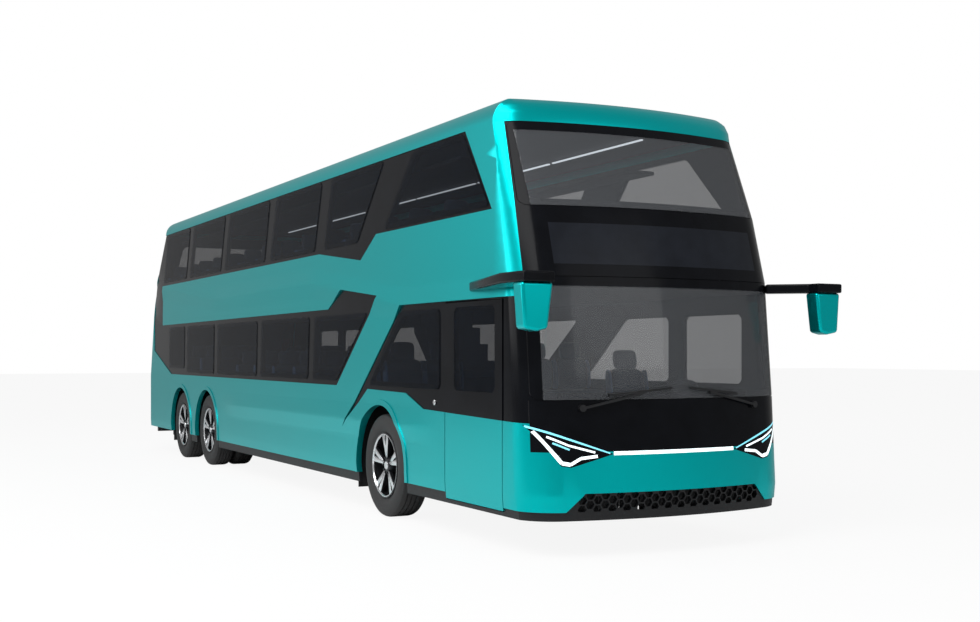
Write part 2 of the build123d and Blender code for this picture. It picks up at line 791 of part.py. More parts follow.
# Front axle: a dropped beam with a fork and a king pin at each end
beam_low_z = 240
beam_high_z = rail_low_z
beam_half = 60
fork_inner_y = 790
fork_web = 24
fork_t = 25
fork_half_h = 90
pin_radius = 20
pin_clear = 1.5
seat_gap = 0.5
with BuildPart() as front_axle:
    add(box_block(front_axle_back - beam_half, front_axle_back + beam_half, -fork_inner_y - fork_web,
                  fork_inner_y + fork_web, beam_low_z, beam_high_z))
    for side in sides:
        add(box_block(front_axle_back - beam_half, front_axle_back + beam_half, side * fork_inner_y,
                      side * (fork_inner_y + fork_web), beam_low_z, wheel_z + fork_half_h + fork_t))
        for low in (wheel_z - fork_half_h - fork_t, wheel_z + fork_half_h):
            add(box_block(front_axle_back - beam_half + 15, front_axle_back + beam_half - 15,
                          side * (fork_inner_y + fork_web), side * (kingpin_y + 40), low, low + fork_t))
        with Locations((back(front_axle_back), side * kingpin_y, wheel_z)):
            Cylinder(pin_radius, 2 * fork_half_h + 1)
save(front_axle, "front_axle")

# Steering knuckles: sleeve on the king pin, stub and brake disc
sleeve_radius = 48
disc_radius = 185
disc_t = 40
for side, hand in ((-1, "right"), (1, "left")):
    stub = Plane((back(front_axle_back), side * kingpin_y, wheel_z), x_dir=(1, 0, 0), z_dir=(0, side, 0))
    disc_y = hub_end["front"] - seat_gap - kingpin_y
    with BuildPart() as knuckle:
        with Locations((back(front_axle_back), side * kingpin_y, wheel_z)):
            Cylinder(sleeve_radius, 2 * (fork_half_h - seat_gap))
        with BuildSketch(stub):
            Circle(42)
        extrude(amount=disc_y)
        with BuildSketch(stub.offset(disc_y - disc_t)):
            Circle(disc_radius)
        extrude(amount=disc_t)
        with Locations((back(front_axle_back), side * kingpin_y, wheel_z)):
            Cylinder(pin_radius + pin_clear, 2 * fork_half_h + 2, mode=Mode.SUBTRACT)
    save(knuckle, f"knuckle_{hand}")

# Rear axles: casings on pads over the rails, with a flange at each hub. Columns:
# name, axle behind the nose, casing radius, middle housing radius
pad_half = 60
axle_table = [("drive", drive_axle_back, 65, 180), ("tag", tag_axle_back, 55, 0)]
for name, axle_back, casing, housing in axle_table:
    end_y = hub_end[name] - seat_gap
    with BuildPart() as axle:
        with BuildSketch(Plane.XZ.offset(-end_y)):
            with Locations((back(axle_back), wheel_z)):
                Circle(casing)
        extrude(amount=2 * end_y)
        for side in sides:
            with BuildSketch(Plane.XZ.offset(-side * end_y)):
                with Locations((back(axle_back), wheel_z)):
                    Circle(disc_radius if name == "tag" else 150)
            extrude(amount=side * disc_t)
        if housing:
            housing_outline = [
                (-housing, casing), (-housing / 2, housing), (housing / 2, housing), (housing, casing),
                (housing, 0), (-housing, 0),
            ]
            with BuildSketch(Plane.YZ.offset(back(axle_back))):
                with Locations((0, wheel_z)):
                    Polygon(*housing_outline, align=None)
            revolve(axis=Axis((back(axle_back), 0, wheel_z), (0, 1, 0)))
        for side in sides:
            add(box_block(axle_back - pad_half, axle_back + pad_half, side * (rail_y - rail_w / 2),
                          side * (rail_y + rail_w / 2), floor_under_z, wheel_z))
    save(axle, f"{name}_axle")

# Mirrors: black arms from the body to painted heads that face the rear
arm_low_z = 2165
arm_high_z = 2245
mirror_y = 1700
right_arm = [
    (-1190, 1299), (-720, 1299), (60, 1410), (mirror_reach, 1430),
    (mirror_reach, mirror_y - 10), (40, mirror_y), (-1190, 1335),
]
left_arm = [
    (-420, 1230), (-300, 1150), (-60, 1420), (60, 1430),
    (60, mirror_y), (-160, mirror_y), (-200, 1480),
]
with BuildPart() as mirror_arms:
    for side, arm in ((-1, right_arm), (1, left_arm)):
        with BuildSketch(Plane.XY.offset(arm_low_z)) as sketch:
            with BuildLine():
                Polyline(*[(nose_x + x, side * y) for x, y in arm], close=True)
            make_face()
        extrude(amount=arm_high_z - arm_low_z)
    add(outer_form, mode=Mode.SUBTRACT)
save(mirror_arms, "mirror_arms")

head_low_z = 1800
head_t = 150
with BuildPart() as mirror_heads:
    for side, head_x in ((-1, mirror_reach - 30), (1, 40)):
        with BuildSketch(Plane.YZ.offset(nose_x + head_x)) as sketch:
            with BuildLine():
                Polyline((side * 1425, arm_low_z), (side * 1470, head_low_z + 20), (side * 1560, head_low_z),
                         (side * 1670, head_low_z + 20), (side * (mirror_y - 5), arm_low_z), close=True)
            make_face()
            fillet(sketch.vertices().group_by(Axis.Y)[0], 25)
        extrude(amount=-head_t)
save(mirror_heads, "mirror_heads")

# Wipers: arms and blades that follow the glass, on two pivots
wiper_inner_form = envelope(-14)
wiper_outer_form = envelope(-34)
wiper_outlines = [
    [(-880, 1205), (-860, 1190), (-330, 1305), (-338, 1325)],
    [(-640, 1290), (-60, 1345), (-62, 1362), (-642, 1310)],
    [(860, 1190), (880, 1205), (338, 1325), (330, 1305)],
    [(120, 1345), (640, 1290), (642, 1310), (122, 1362)],
]
wiper_blocks = [front_block(outline, 0, 700) for outline in wiper_outlines]
wiper_pivot_radius = 28
with BuildPart() as wiper_band:
    add(wiper_outer_form)
    add(wiper_inner_form, mode=Mode.SUBTRACT)
    add(wiper_blocks, mode=Mode.INTERSECT)
with BuildPart() as wiper_pivots:
    add(wiper_outer_form)
    add(outer_form, mode=Mode.SUBTRACT)
    with BuildSketch(Plane.YZ.offset(back(900))) as sketch:
        with Locations((-866, 1200), (866, 1200)):
            Circle(wiper_pivot_radius)
    extrude(amount=1200, mode=Mode.INTERSECT)
with BuildPart() as wipers:
    add(wiper_band.part)
    add(wiper_pivots.part)
save(wipers, "wipers")

# Driver's place: dashboard, steering wheel and seat, on the left
dash_rear_back = 700
dash_outline = [
    (160, 1235), (600, 1262), (dash_rear_back, 1180), (dash_rear_back, 980), (770, lower_floor_z),
    (702, lower_floor_z), (600, 900), (160, 960),
]
with BuildPart() as dashboard:
    add(side_block(dash_outline, -1, inner=0, outer=1190))
    add(side_block(dash_outline, 1, inner=0, outer=1190))
    add(envelope(wall + 4), mode=Mode.INTERSECT)
save(dashboard, "dashboard")

driver_y = 620
steer_back = 960
steer_z = 1270
steer_radius = 225
rim_grip = 17
column_length = 300
steer_plane = Plane((back(steer_back), driver_y, steer_z), x_dir=(0, 1, 0), z_dir=(-0.5, 0, 0.866))
with BuildPart() as steering_wheel:
    with BuildSketch(Plane(steer_plane.origin, x_dir=(0, 1, 0), z_dir=(0.866, 0, 0.5))):
        with Locations((steer_radius, 0)):
            RegularPolygon(rim_grip, 6)
    revolve(axis=Axis(steer_plane.origin, steer_plane.z_dir))
    with BuildSketch(steer_plane.offset(-8)):
        Circle(55)
        Rectangle(2 * steer_radius, 34)
    extrude(amount=16)
    with BuildSketch(steer_plane.offset(-8)):
        Circle(30)
    extrude(amount=-column_length)
    add(box_block(dash_rear_back, steer_back - 0.5 * column_length + 30, driver_y - 45, driver_y + 45,
                  990, 1070))
save(steering_wheel, "steering_wheel")


def seat_block(seat_back, side_y, width, floor_z, cushion_h, back_h, base_h):
    """Seat for one or two people: plinth, cushion and a leaning back as one solid."""
    cushion_z = floor_z + cushion_h
    outline = [
        (seat_back + 180, floor_z), (seat_back + 180, floor_z + base_h), (seat_back - 30, floor_z + base_h),
        (seat_back - 30, cushion_z), (seat_back + 390, cushion_z - 20), (seat_back + 470, floor_z + back_h),
        (seat_back + 590, floor_z + back_h - 20), (seat_back + 500, floor_z + base_h),
        (seat_back + 420, floor_z + base_h), (seat_back + 420, floor_z),
    ]
    return side_block(outline, 1, inner=side_y - width / 2, outer=side_y + width / 2)


with BuildPart() as driver_seat:
    add(seat_block(1230, driver_y, 500, lower_floor_z, 500, 1190, 340))
save(driver_seat, "driver_seat")

pair_y = 775
pair_width = 870
box_seat_z = wheel_box_top + wheel_box_t
# columns: seat front behind the nose, floor height, whether the left has one too
lower_rows = [
    (2900, box_seat_z, True), (4100, lower_floor_z, False), (4900, lower_floor_z, False),
    (5700, lower_floor_z, False), (6500, lower_floor_z, False), (7300, lower_floor_z, True),
    (8100, lower_floor_z, True), (9250, box_seat_z, True), (10050, box_seat_z, True),
    (10850, box_seat_z, True),
]
lower_pairs = []
for seat_back, floor_z, both in lower_rows:
    raised = floor_z > lower_floor_z
    heights = (110, 620, 30) if raised else (470, 1180, 330)
    for side in (sides if both else (-1,)):
        lower_pairs.append(seat_block(seat_back, side * pair_y, pair_width, floor_z, *heights))
with BuildPart() as lower_seats:
    add(lower_pairs)
save(lower_seats, "lower_seats")

upper_first_back = 1650
upper_pitch = 800
upper_row_count = 14
upper_pairs = []
for row in range(upper_row_count):
    seat_back = upper_first_back + upper_pitch * row
    over_well = well_front_back - 650 < seat_back < well_rear_back
    for side in ((-1,) if over_well else sides):
        upper_pairs.append(seat_block(seat_back, side * pair_y, pair_width, upper_floor_z, 380, 830, 250))
with BuildPart() as upper_seats:
    add(upper_pairs)
save(upper_seats, "upper_seats")

# Mud flaps behind the front and the rearmost wheels
flap_t = 10
with BuildPart() as mud_flaps:
    for flap_back, low in ((front_axle_back + front_box_half + wheel_box_t + flap_t, 230),
                           (rear_box_rear_back + wheel_box_t + flap_t, 230)):
        for side in sides:
            add(box_block(flap_back, flap_back + flap_t, side * 960, side * 1235, low, floor_under_z))
save(mud_flaps, "mud_flaps")
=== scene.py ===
import json
from math import cos, pi, radians, sin

import bmesh
import bpy
from bpy.props import FloatProperty, FloatVectorProperty, IntProperty, PointerProperty
from mathutils import Matrix, Vector

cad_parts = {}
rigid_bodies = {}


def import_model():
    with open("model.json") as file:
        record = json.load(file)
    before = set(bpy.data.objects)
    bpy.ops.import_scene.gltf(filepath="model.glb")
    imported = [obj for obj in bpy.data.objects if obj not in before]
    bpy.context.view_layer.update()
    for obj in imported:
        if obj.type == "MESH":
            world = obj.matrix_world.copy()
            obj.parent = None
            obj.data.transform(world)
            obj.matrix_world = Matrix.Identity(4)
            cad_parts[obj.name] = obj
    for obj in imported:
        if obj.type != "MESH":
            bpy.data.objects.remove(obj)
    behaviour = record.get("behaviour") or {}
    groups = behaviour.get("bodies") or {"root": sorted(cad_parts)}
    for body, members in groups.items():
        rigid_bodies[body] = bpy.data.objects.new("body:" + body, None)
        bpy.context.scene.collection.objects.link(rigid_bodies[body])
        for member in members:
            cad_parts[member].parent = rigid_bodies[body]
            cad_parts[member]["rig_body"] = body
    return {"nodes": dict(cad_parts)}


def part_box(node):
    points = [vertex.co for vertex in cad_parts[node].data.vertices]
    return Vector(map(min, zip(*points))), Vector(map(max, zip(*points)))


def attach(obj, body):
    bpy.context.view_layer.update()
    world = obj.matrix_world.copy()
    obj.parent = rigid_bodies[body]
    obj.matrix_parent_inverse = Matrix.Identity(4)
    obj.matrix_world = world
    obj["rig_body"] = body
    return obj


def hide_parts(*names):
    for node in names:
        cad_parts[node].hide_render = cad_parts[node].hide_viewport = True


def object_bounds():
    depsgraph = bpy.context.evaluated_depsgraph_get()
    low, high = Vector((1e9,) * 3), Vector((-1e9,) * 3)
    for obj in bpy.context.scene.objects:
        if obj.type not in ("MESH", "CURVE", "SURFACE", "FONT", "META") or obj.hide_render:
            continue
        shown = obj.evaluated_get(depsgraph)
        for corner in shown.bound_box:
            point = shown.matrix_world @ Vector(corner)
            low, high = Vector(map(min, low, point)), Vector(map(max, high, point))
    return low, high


bl_info = {
    "name": "Double Decker Coach",
    "version": (1, 0, 0),
    "blender": (4, 5, 0),
    "location": "View3D > Sidebar > Coach",
    "description": "Dresses a three-axle double-decker coach with its finishes and fittings",
    "category": "Object",
}

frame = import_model()
CAD_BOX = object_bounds()
NODES = frame["nodes"]

# The nose stands behind the mirrors' front by their reach
MIRROR_REACH = 0.42
NOSE_X = CAD_BOX[1].x - MIRROR_REACH
SIDES = ((-1, "right"), (1, "left"))
MERGE = 1e-5

# Half width of the body at rising heights
FLANK = [(0.30, 1.286), (0.50, 1.300), (1.25, 1.300), (2.26, 1.300), (2.84, 1.289), (3.58, 1.243)]

# Creases in the side panels, as distance behind the nose and height
BELT_CREASE = [(13.2, 2.62), (12.26, 2.68), (9.38, 2.40), (5.24, 2.43), (2.75, 2.10), (0.6, 2.10)]
LOWER_CREASE = [(8.66, 0.93), (2.35, 0.962)]
CREASE_PROUD = 0.020
CREASE_REACH = 0.17
CREASE_FADE = 0.3

# How deep under the flank a wall's point still counts as its outer face
SKIN = 0.006


def back(distance):
    """X of a place that lies this far behind the nose."""
    return NOSE_X - distance


def along(line, place):
    """Value on a line of (place, value) points, held level beyond its ends."""
    points = sorted(line)
    if place <= points[0][0]:
        return points[0][1]
    for (a, low), (b, high) in zip(points, points[1:]):
        if place <= b:
            return low + (high - low) * (place - a) / (b - a)
    return points[-1][1]


class CoachSettings(bpy.types.PropertyGroup):
    """Colours and sizes of the coach that a user would change."""

    paint: FloatVectorProperty(
        name="Paint", description="Teal body colour", subtype="COLOR", size=3,
        default=(0.0, 0.47, 0.485), min=0, max=1)
    glass_tint: FloatVectorProperty(
        name="Glass tint", description="Colour of the dark glass", subtype="COLOR", size=3,
        default=(0.003, 0.005, 0.009), min=0, max=1)
    side_glass_cover: FloatProperty(
        name="Side glass cover", description="How much each face of the side glass hides",
        default=0.50, min=0, max=1, subtype="FACTOR")
    screen_cover: FloatProperty(
        name="Screen cover", description="How much each face of the windscreens hides",
        default=0.30, min=0, max=1, subtype="FACTOR")
    seat_cloth: FloatVectorProperty(
        name="Seat cloth", description="Dark blue seat covers", subtype="COLOR", size=3,
        default=(0.008, 0.028, 0.065), min=0, max=1)
    seat_edge: FloatVectorProperty(
        name="Seat edge", description="Lighter blue stripe on the seats' sides", subtype="COLOR",
        size=3, default=(0.045, 0.14, 0.33), min=0, max=1)
    wheel_steps: IntProperty(
        name="Wheel steps", description="Divisions round each tyre", default=96, min=24, max=192,
        subtype="UNSIGNED")
    groove_depth: FloatProperty(
        name="Groove depth", description="Depth of the tyres' main grooves", default=0.010,
        min=0.002, max=0.02, unit="LENGTH")
    lens: FloatProperty(
        name="Lens", description="Focal length of the camera", default=46.43, min=10, max=200,
        subtype="DISTANCE_CAMERA")


def settings():
    """The coach's settings in this scene."""
    return bpy.context.scene.coach


# Materials


def surface(name, colour, roughness, metallic=0.0, coat=0.0, grain=40.0, spread=0.08,
            rough_spread=0.06, bump=0.0, bump_scale=400.0, sheen=0.0, specular=0.5):
    """A solid finish whose colour and roughness drift with a grain, with an optional fine bump."""
    made = bpy.data.materials.get(name)
    if made:
        return made
    made = bpy.data.materials.new(name)
    made.use_nodes = True
    nodes, links = made.node_tree.nodes, made.node_tree.links
    shader = nodes["Principled BSDF"]
    place = nodes.new("ShaderNodeTexCoord")
    noise = nodes.new("ShaderNodeTexNoise")
    noise.inputs["Scale"].default_value = grain
    noise.inputs["Detail"].default_value = 4
    links.new(place.outputs["Object"], noise.inputs["Vector"])
    ramp = nodes.new("ShaderNodeValToRGB")
    ramp.color_ramp.elements[0].position = 0.3
    ramp.color_ramp.elements[1].position = 0.7
    ramp.color_ramp.elements[0].color = (*[c * (1 - spread) for c in colour], 1)
    ramp.color_ramp.elements[1].color = (*[min(c * (1 + spread), 1) for c in colour], 1)
    links.new(noise.outputs["Fac"], ramp.inputs["Fac"])
    links.new(ramp.outputs["Color"], shader.inputs["Base Color"])
    rough = nodes.new("ShaderNodeMapRange")
    rough.inputs["To Min"].default_value = max(roughness - rough_spread, 0.01)
    rough.inputs["To Max"].default_value = min(roughness + rough_spread, 1)
    links.new(noise.outputs["Fac"], rough.inputs["Value"])
    links.new(rough.outputs["Result"], shader.inputs["Roughness"])
    shader.inputs["Metallic"].default_value = metallic
    shader.inputs["Coat Weight"].default_value = coat
    shader.inputs["Coat Roughness"].default_value = 0.04
    shader.inputs["Sheen Weight"].default_value = sheen
    shader.inputs["Specular IOR Level"].default_value = specular
    if bump:
        fine = nodes.new("ShaderNodeTexNoise")
        fine.inputs["Scale"].default_value = bump_scale
        raised = nodes.new("ShaderNodeBump")
        raised.inputs["Strength"].default_value = bump
        raised.inputs["Distance"].default_value = 0.002
        links.new(place.outputs["Object"], fine.inputs["Vector"])
        links.new(fine.outputs["Fac"], raised.inputs["Height"])
        links.new(raised.outputs["Normal"], shader.inputs["Normal"])
    return made


def glowing(name, colour, strength):
    """A lit lamp strip: a lens finish with its own light."""
    made = surface(name, colour, 0.2, grain=60, spread=0.03)
    shader = made.node_tree.nodes["Principled BSDF"]
    shader.inputs["Emission Color"].default_value = (*colour, 1)
    shader.inputs["Emission Strength"].default_value = strength
    return made


def glass(name, cover):
    """Tinted glass: a dark gloss face that hides part of what is behind it."""
    made = surface(name, settings().glass_tint, 0.03, grain=3, spread=0.15, rough_spread=0.015,
                   specular=0.08)
    shader = made.node_tree.nodes["Principled BSDF"]
    shader.inputs["Alpha"].default_value = cover
    shader.inputs["IOR"].default_value = 1.5
    made.surface_render_method = "BLENDED"
    return made


def paint():
    """Teal metallic body paint."""
    return surface("teal_paint", settings().paint, 0.33, metallic=0.92, coat=0.04, grain=900,
                   spread=0.07, rough_spread=0.03, bump=0.02, bump_scale=1400, specular=0.1)


def gloss_black():
    """Black glazing surround and front panels."""
    return surface("gloss_black", (0.0035, 0.004, 0.0055), 0.16, grain=5, spread=0.2,
                   rough_spread=0.03, specular=0.08)


def blank_panel():
    """Slightly lighter blank field on the belt panel."""
    return surface("blank_panel", (0.010, 0.012, 0.017), 0.22, grain=5, spread=0.15,
                   rough_spread=0.03, specular=0.12)


def satin_black():
    """Moulded black plastic of the grille, trim and wipers."""
    return surface("satin_black", (0.007, 0.0075, 0.009), 0.48, grain=60, bump=0.12,
                   bump_scale=900, specular=0.3)


def lining():
    """Dark lining of the cabin's inner faces."""
    return surface("cabin_lining", (0.012, 0.014, 0.018), 0.75, grain=30, bump=0.10, bump_scale=700)


def floor_cover():
    """Speckled floor covering of the decks and stairs."""
    return surface("floor_cover", (0.012, 0.013, 0.016), 0.7, grain=250, spread=0.3, bump=0.15,
                   bump_scale=500)


def chassis_black():
    """Worn black paint of the chassis and axles."""
    return surface("chassis_black", (0.02, 0.02, 0.022), 0.55, grain=12, spread=0.35, bump=0.15,
                   bump_scale=120)


def casting():
    """Rough grey casting of the engine."""
    return surface("engine_casting", (0.10, 0.10, 0.105), 0.6, metallic=0.6, grain=20, spread=0.3,
                   bump=0.3, bump_scale=180)


def tyre_rubber():
    """Black rubber of the tyres and mud flaps."""
    return surface("tyre_rubber", (0.014, 0.014, 0.015), 0.66, grain=25, spread=0.25, bump=0.15,
                   bump_scale=600)


def machined():
    """Bright machined alloy."""
    return surface("machined_alloy", (0.72, 0.73, 0.75), 0.20, metallic=1.0, grain=500,
                   spread=0.05)


def dark_alloy():
    """Dark coated alloy between the bright faces."""
    return surface("dark_alloy", (0.025, 0.026, 0.03), 0.32, metallic=0.6, grain=60,
                   spread=0.15)


def seat_cloth():
    """Dark blue cloth of the seats."""
    return surface("seat_cloth", settings().seat_cloth, 0.85, grain=220, spread=0.25, bump=0.5,
                   bump_scale=900, sheen=0.3)


def seat_edge():
    """Lighter blue cloth along the seats' sides."""
    return surface("seat_edge", settings().seat_edge, 0.7, grain=220, spread=0.15, bump=0.4,
                   bump_scale=900, sheen=0.2)


def dash_plastic():
    """Grained dark plastic of the dashboard and steering wheel."""
    return surface("dash_plastic", (0.012, 0.015, 0.022), 0.6, grain=120, bump=0.25,
                   bump_scale=800)


def tail_red():
    """Red lens of the tail lamps."""
    return surface("tail_red", (0.30, 0.006, 0.008), 0.15, coat=0.6, grain=40, spread=0.2)


# Meshes


# Faces of a node that turn less than this are one flat face
FLAT_ANGLE = radians(0.2)


def merged_copy(name):
    """A copy of a node's triangles, joined at their edges, with its flat faces made whole."""
    work = bmesh.new()
    work.from_mesh(NODES[name].data)
    bmesh.ops.remove_doubles(work, verts=work.verts, dist=MERGE)
    bmesh.ops.dissolve_limit(work, angle_limit=FLAT_ANGLE, verts=work.verts, edges=work.edges)
    return work


def cut(work, place, normal):
    """Cuts every face of a work mesh along a plane and keeps both sides."""
    geometry = list(work.verts) + list(work.edges) + list(work.faces)
    bmesh.ops.bisect_plane(work, geom=geometry, dist=MERGE, plane_co=place, plane_no=normal)


def shade(work, crease):
    """Smooth faces, with sharp edges where they turn more than the crease angle."""
    for face in work.faces:
        face.smooth = True
    for edge in work.edges:
        edge.smooth = len(edge.link_faces) == 2 and edge.calc_face_angle(pi) < radians(crease)


def piece(work, name, body, materials, stands_for=(), crease=28):
    """A finished piece from a work mesh, riding on a body."""
    shade(work, crease)
    mesh = bpy.data.meshes.new(name)
    work.to_mesh(mesh)
    work.free()
    for material in materials:
        mesh.materials.append(material)
    made = bpy.data.objects.new(name, mesh)
    bpy.context.scene.collection.objects.link(made)
    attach(made, body)
    if stands_for:
        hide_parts(*stands_for)
    return made


def finish_node(name, material):
    """Gives a node that keeps its own shape a finish."""
    mesh = NODES[name].data
    mesh.materials.clear()
    mesh.materials.append(material)


def soften(made, width):
    """Rounds the sharp edges of a piece by a width."""
    rounding = made.modifiers.new("edge_rounding", "BEVEL")
    rounding.width = width
    rounding.segments = 4
    rounding.limit_method = "ANGLE"
    rounding.angle_limit = radians(35)
    rounding.use_clamp_overlap = True


def body_of(name):
    """The body that a node rides on."""
    return NODES[name]["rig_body"]


def box_into(work, low, high, rounding=0.0):
    """Adds a box between two corners, with its edges rounded if asked, and returns its corners."""
    low, high = Vector(low), Vector(high)
    middle, size = (low + high) / 2, high - low
    place = Matrix.Translation(middle) @ Matrix.Diagonal((*size, 1))
    made = bmesh.ops.create_cube(work, size=1, matrix=place)
    if rounding:
        edges = list({edge for vert in made["verts"] for edge in vert.link_edges})
        bmesh.ops.bevel(work, geom=edges, offset=rounding, offset_type="OFFSET", segments=3,
                        profile=0.5, affect="EDGES", material=-1)
    return made["verts"]


def spun(work, profile, steps, index=0):
    """Turns a closed profile of (y, radius) points once round the Y axis."""
    verts = [work.verts.new((0, y, radius)) for y, radius in profile]
    edges = [work.edges.new(pair) for pair in zip(verts, verts[1:] + verts[:1])]
    before = set(work.faces)
    bmesh.ops.spin(work, geom=verts + edges, cent=(0, 0, 0), axis=(0, 1, 0), angle=2 * pi,
                   steps=steps, use_merge=True)
    for face in set(work.faces) - before:
        face.material_index = index


# Body panels


def cut_along(work, line):
    """Cuts a side panel along a crease and along both edges of its slopes."""
    for (near, low), (far, high) in zip(line, line[1:]):
        for rise in (-CREASE_REACH, 0, CREASE_REACH):
            cut(work, (back(near), 0, low + rise), (high - low, 0, far - near))


def displace_creases(work, side):
    """Raises the side panel's creases from its outer face, fading out at both ends."""
    for vert in work.verts:
        x, y, z = vert.co
        if abs(y) < along(FLANK, z) - SKIN:
            continue
        rise = 0.0
        distance = NOSE_X - x
        for line in (BELT_CREASE, LOWER_CREASE):
            first, last = min(line)[0], max(line)[0]
            off = z - along(line, distance)
            starts = min(1, max(0, (distance - first + CREASE_FADE) / (2 * CREASE_FADE)))
            ends = min(1, max(0, (last + CREASE_FADE - distance) / (2 * CREASE_FADE)))
            rise = max(rise, CREASE_PROUD * max(0, 1 - abs(off) / CREASE_REACH) * (starts * ends))
        vert.co.y += side * rise


def line_inside(work, face_test):
    """Gives the faces that look into the cabin their lining."""
    for face in work.faces:
        if face_test(face):
            face.material_index = 1


# The rear wall's side returns are lined within this half width, up to this far behind the nose
RETURN_HALF, RETURN_REACH = 1.2, 12.6


def in_rear_lining(face):
    """Whether a face of the rear wall looks into the cabin or lies on its side returns."""
    centre = face.calc_center_median()
    return face.normal.x > 0.5 or abs(centre.y) < RETURN_HALF and centre.x > back(RETURN_REACH)


# Grid of cuts that lets a side panel bend along its creases
PANEL_STEP_X, PANEL_STEP_Z = 0.22, 0.065
# The door is black above this line: distance behind the nose, height, fall per metre of length
BAND_PLACE, BAND_HEIGHT, BAND_FALL = 1.20, 1.097, 0.023


class COACH_OT_body(bpy.types.Operator):
    """Make the painted panels: sides with their creases, roof, rear, bumper and lid"""

    bl_idname = "coach.body"
    bl_label = "Body panels"

    def execute(self, context):
        for side, hand in SIDES:
            name = f"side_wall_{hand}"
            work = merged_copy(name)
            low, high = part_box(name)
            for i in range(1, int((high.x - low.x) / PANEL_STEP_X)):
                cut(work, (low.x + i * PANEL_STEP_X, 0, 0), (1, 0, 0))
            for i in range(1, int((high.z - low.z) / PANEL_STEP_Z)):
                cut(work, (0, 0, low.z + i * PANEL_STEP_Z), (0, 0, 1))
            for line in (BELT_CREASE, LOWER_CREASE):
                cut_along(work, line)
            displace_creases(work, side)
            line_inside(work, lambda face: face.normal.y * side < -0.6)
            piece(work, f"{name}_panel", body_of(name), [paint(), lining()], [name])
        tests = {
            "roof_panel": lambda face: face.normal.z < -0.5,
            "rear_wall": in_rear_lining,
            "engine_lid": lambda face: face.normal.x > 0.7,
        }
        for name, test in tests.items():
            work = merged_copy(name)
            line_inside(work, test)
            piece(work, f"{name}_panel", body_of(name), [paint(), lining()], [name])
        work = merged_copy("front_bumper")
        piece(work, "front_bumper_panel", "coach", [paint()], ["front_bumper"])
        work = merged_copy("passenger_door")
        band = Vector((back(BAND_PLACE), 0, BAND_HEIGHT))
        cut(work, band, (BAND_FALL, 0, 1))
        for face in work.faces:
            if face.calc_center_median().z > band.z:
                face.material_index = 1
        finishes = [paint(), gloss_black()]
        piece(work, "passenger_door_leaf", "door", finishes, ["passenger_door"])
        return {"FINISHED"}


# Rounding of the mirrors' heads and arms
HEAD_ROUNDING, ARM_ROUNDING = 0.028, 0.020


class COACH_OT_mirrors(bpy.types.Operator):
    """Make the mirror heads and arms with rounded forms and glass at the back"""

    bl_idname = "coach.mirrors"
    bl_label = "Mirrors"

    def execute(self, context):
        work = merged_copy("mirror_heads")
        for face in work.faces:
            if face.normal.x < -0.8:
                face.material_index = 1
        finishes = [paint(), machined()]
        heads = piece(work, "mirror_heads_shell", "coach", finishes, ["mirror_heads"])
        soften(heads, HEAD_ROUNDING)
        work = merged_copy("mirror_arms")
        finishes = [gloss_black()]
        arms = piece(work, "mirror_arms_shell", "coach", finishes, ["mirror_arms"])
        soften(arms, ARM_ROUNDING)
        return {"FINISHED"}


# Black border of the screens, and the blank field on the belt panel
SCREEN_BORDER = 0.075
BLANK_Y, BLANK_Z = (-1.02, 1.02), (2.36, 2.70)


class COACH_OT_glazing(bpy.types.Operator):
    """Finish the glass and the black glazing frames and panels"""

    bl_idname = "coach.glazing"
    bl_label = "Glazing"

    def execute(self, context):
        side_cover, screen_cover = settings().side_glass_cover, settings().screen_cover
        for name in ("upper_side_glass", "lower_side_glass", "rear_window", "door_glass"):
            finish_node(name, glass("side_glass", side_cover))
        for name in ("upper_windscreen", "lower_windscreen"):
            low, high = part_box(name)
            work = merged_copy(name)
            edge = high.y - SCREEN_BORDER
            for place, normal in (((0, edge, 0), (0, 1, 0)), ((0, -edge, 0), (0, 1, 0)),
                                  ((0, 0, high.z - SCREEN_BORDER), (0, 0, 1))):
                cut(work, place, normal)
            for face in work.faces:
                centre = face.calc_center_median()
                if abs(centre.y) > edge or centre.z > high.z - SCREEN_BORDER:
                    face.material_index = 1
            finishes = [glass("screen_glass", screen_cover), gloss_black()]
            piece(work, f"{name}_pane", "coach", finishes, [name])
        for name in ("upper_frames", "lower_frames"):
            work = merged_copy(name)
            for face in work.faces:
                if face.normal.y * face.calc_center_median().y < 0 and abs(face.normal.y) > 0.6:
                    face.material_index = 1
            piece(work, f"{name}_trim", "coach", [gloss_black(), lining()], [name])
        for name in ("front_frame", "nose_panel"):
            work = merged_copy(name)
            piece(work, f"{name}_trim", "coach", [gloss_black()], [name])
        work = merged_copy("belt_panel")
        (near, far), (base, top) = BLANK_Y, BLANK_Z
        for place, normal in (((0, near, 0), (0, 1, 0)), ((0, far, 0), (0, 1, 0)),
                              ((0, 0, base), (0, 0, 1)), ((0, 0, top), (0, 0, 1))):
            cut(work, place, normal)
        for face in work.faces:
            centre = face.calc_center_median()
            if near < centre.y < far and base < centre.z < top:
                face.material_index = 1
        finishes = [gloss_black(), blank_panel()]
        piece(work, "belt_panel_trim", "coach", finishes, ["belt_panel"])
        return {"FINISHED"}


# Lamps


def inside(polygon, y, z):
    """Whether a place lies within a polygon of (y, z) points."""
    hit = False
    for (y1, z1), (y2, z2) in zip(polygon, polygon[1:] + polygon[:1]):
        if (z1 > z) != (z2 > z) and y < (y2 - y1) * (z - z1) / (z2 - z1) + y1:
            hit = not hit
    return hit


def strip(start, end, width):
    """Outline of a straight strip of one width between two (y, z) points."""
    start, end = Vector(start), Vector(end)
    across = (end - start).normalized().orthogonal() * width / 2
    corners = (start + across, end + across, end - across, start - across)
    return [tuple(corner) for corner in corners]


# Finishes of a headlamp's faces, after its black ground
LIT_WHITE, LIT_EDGE = 1, 2
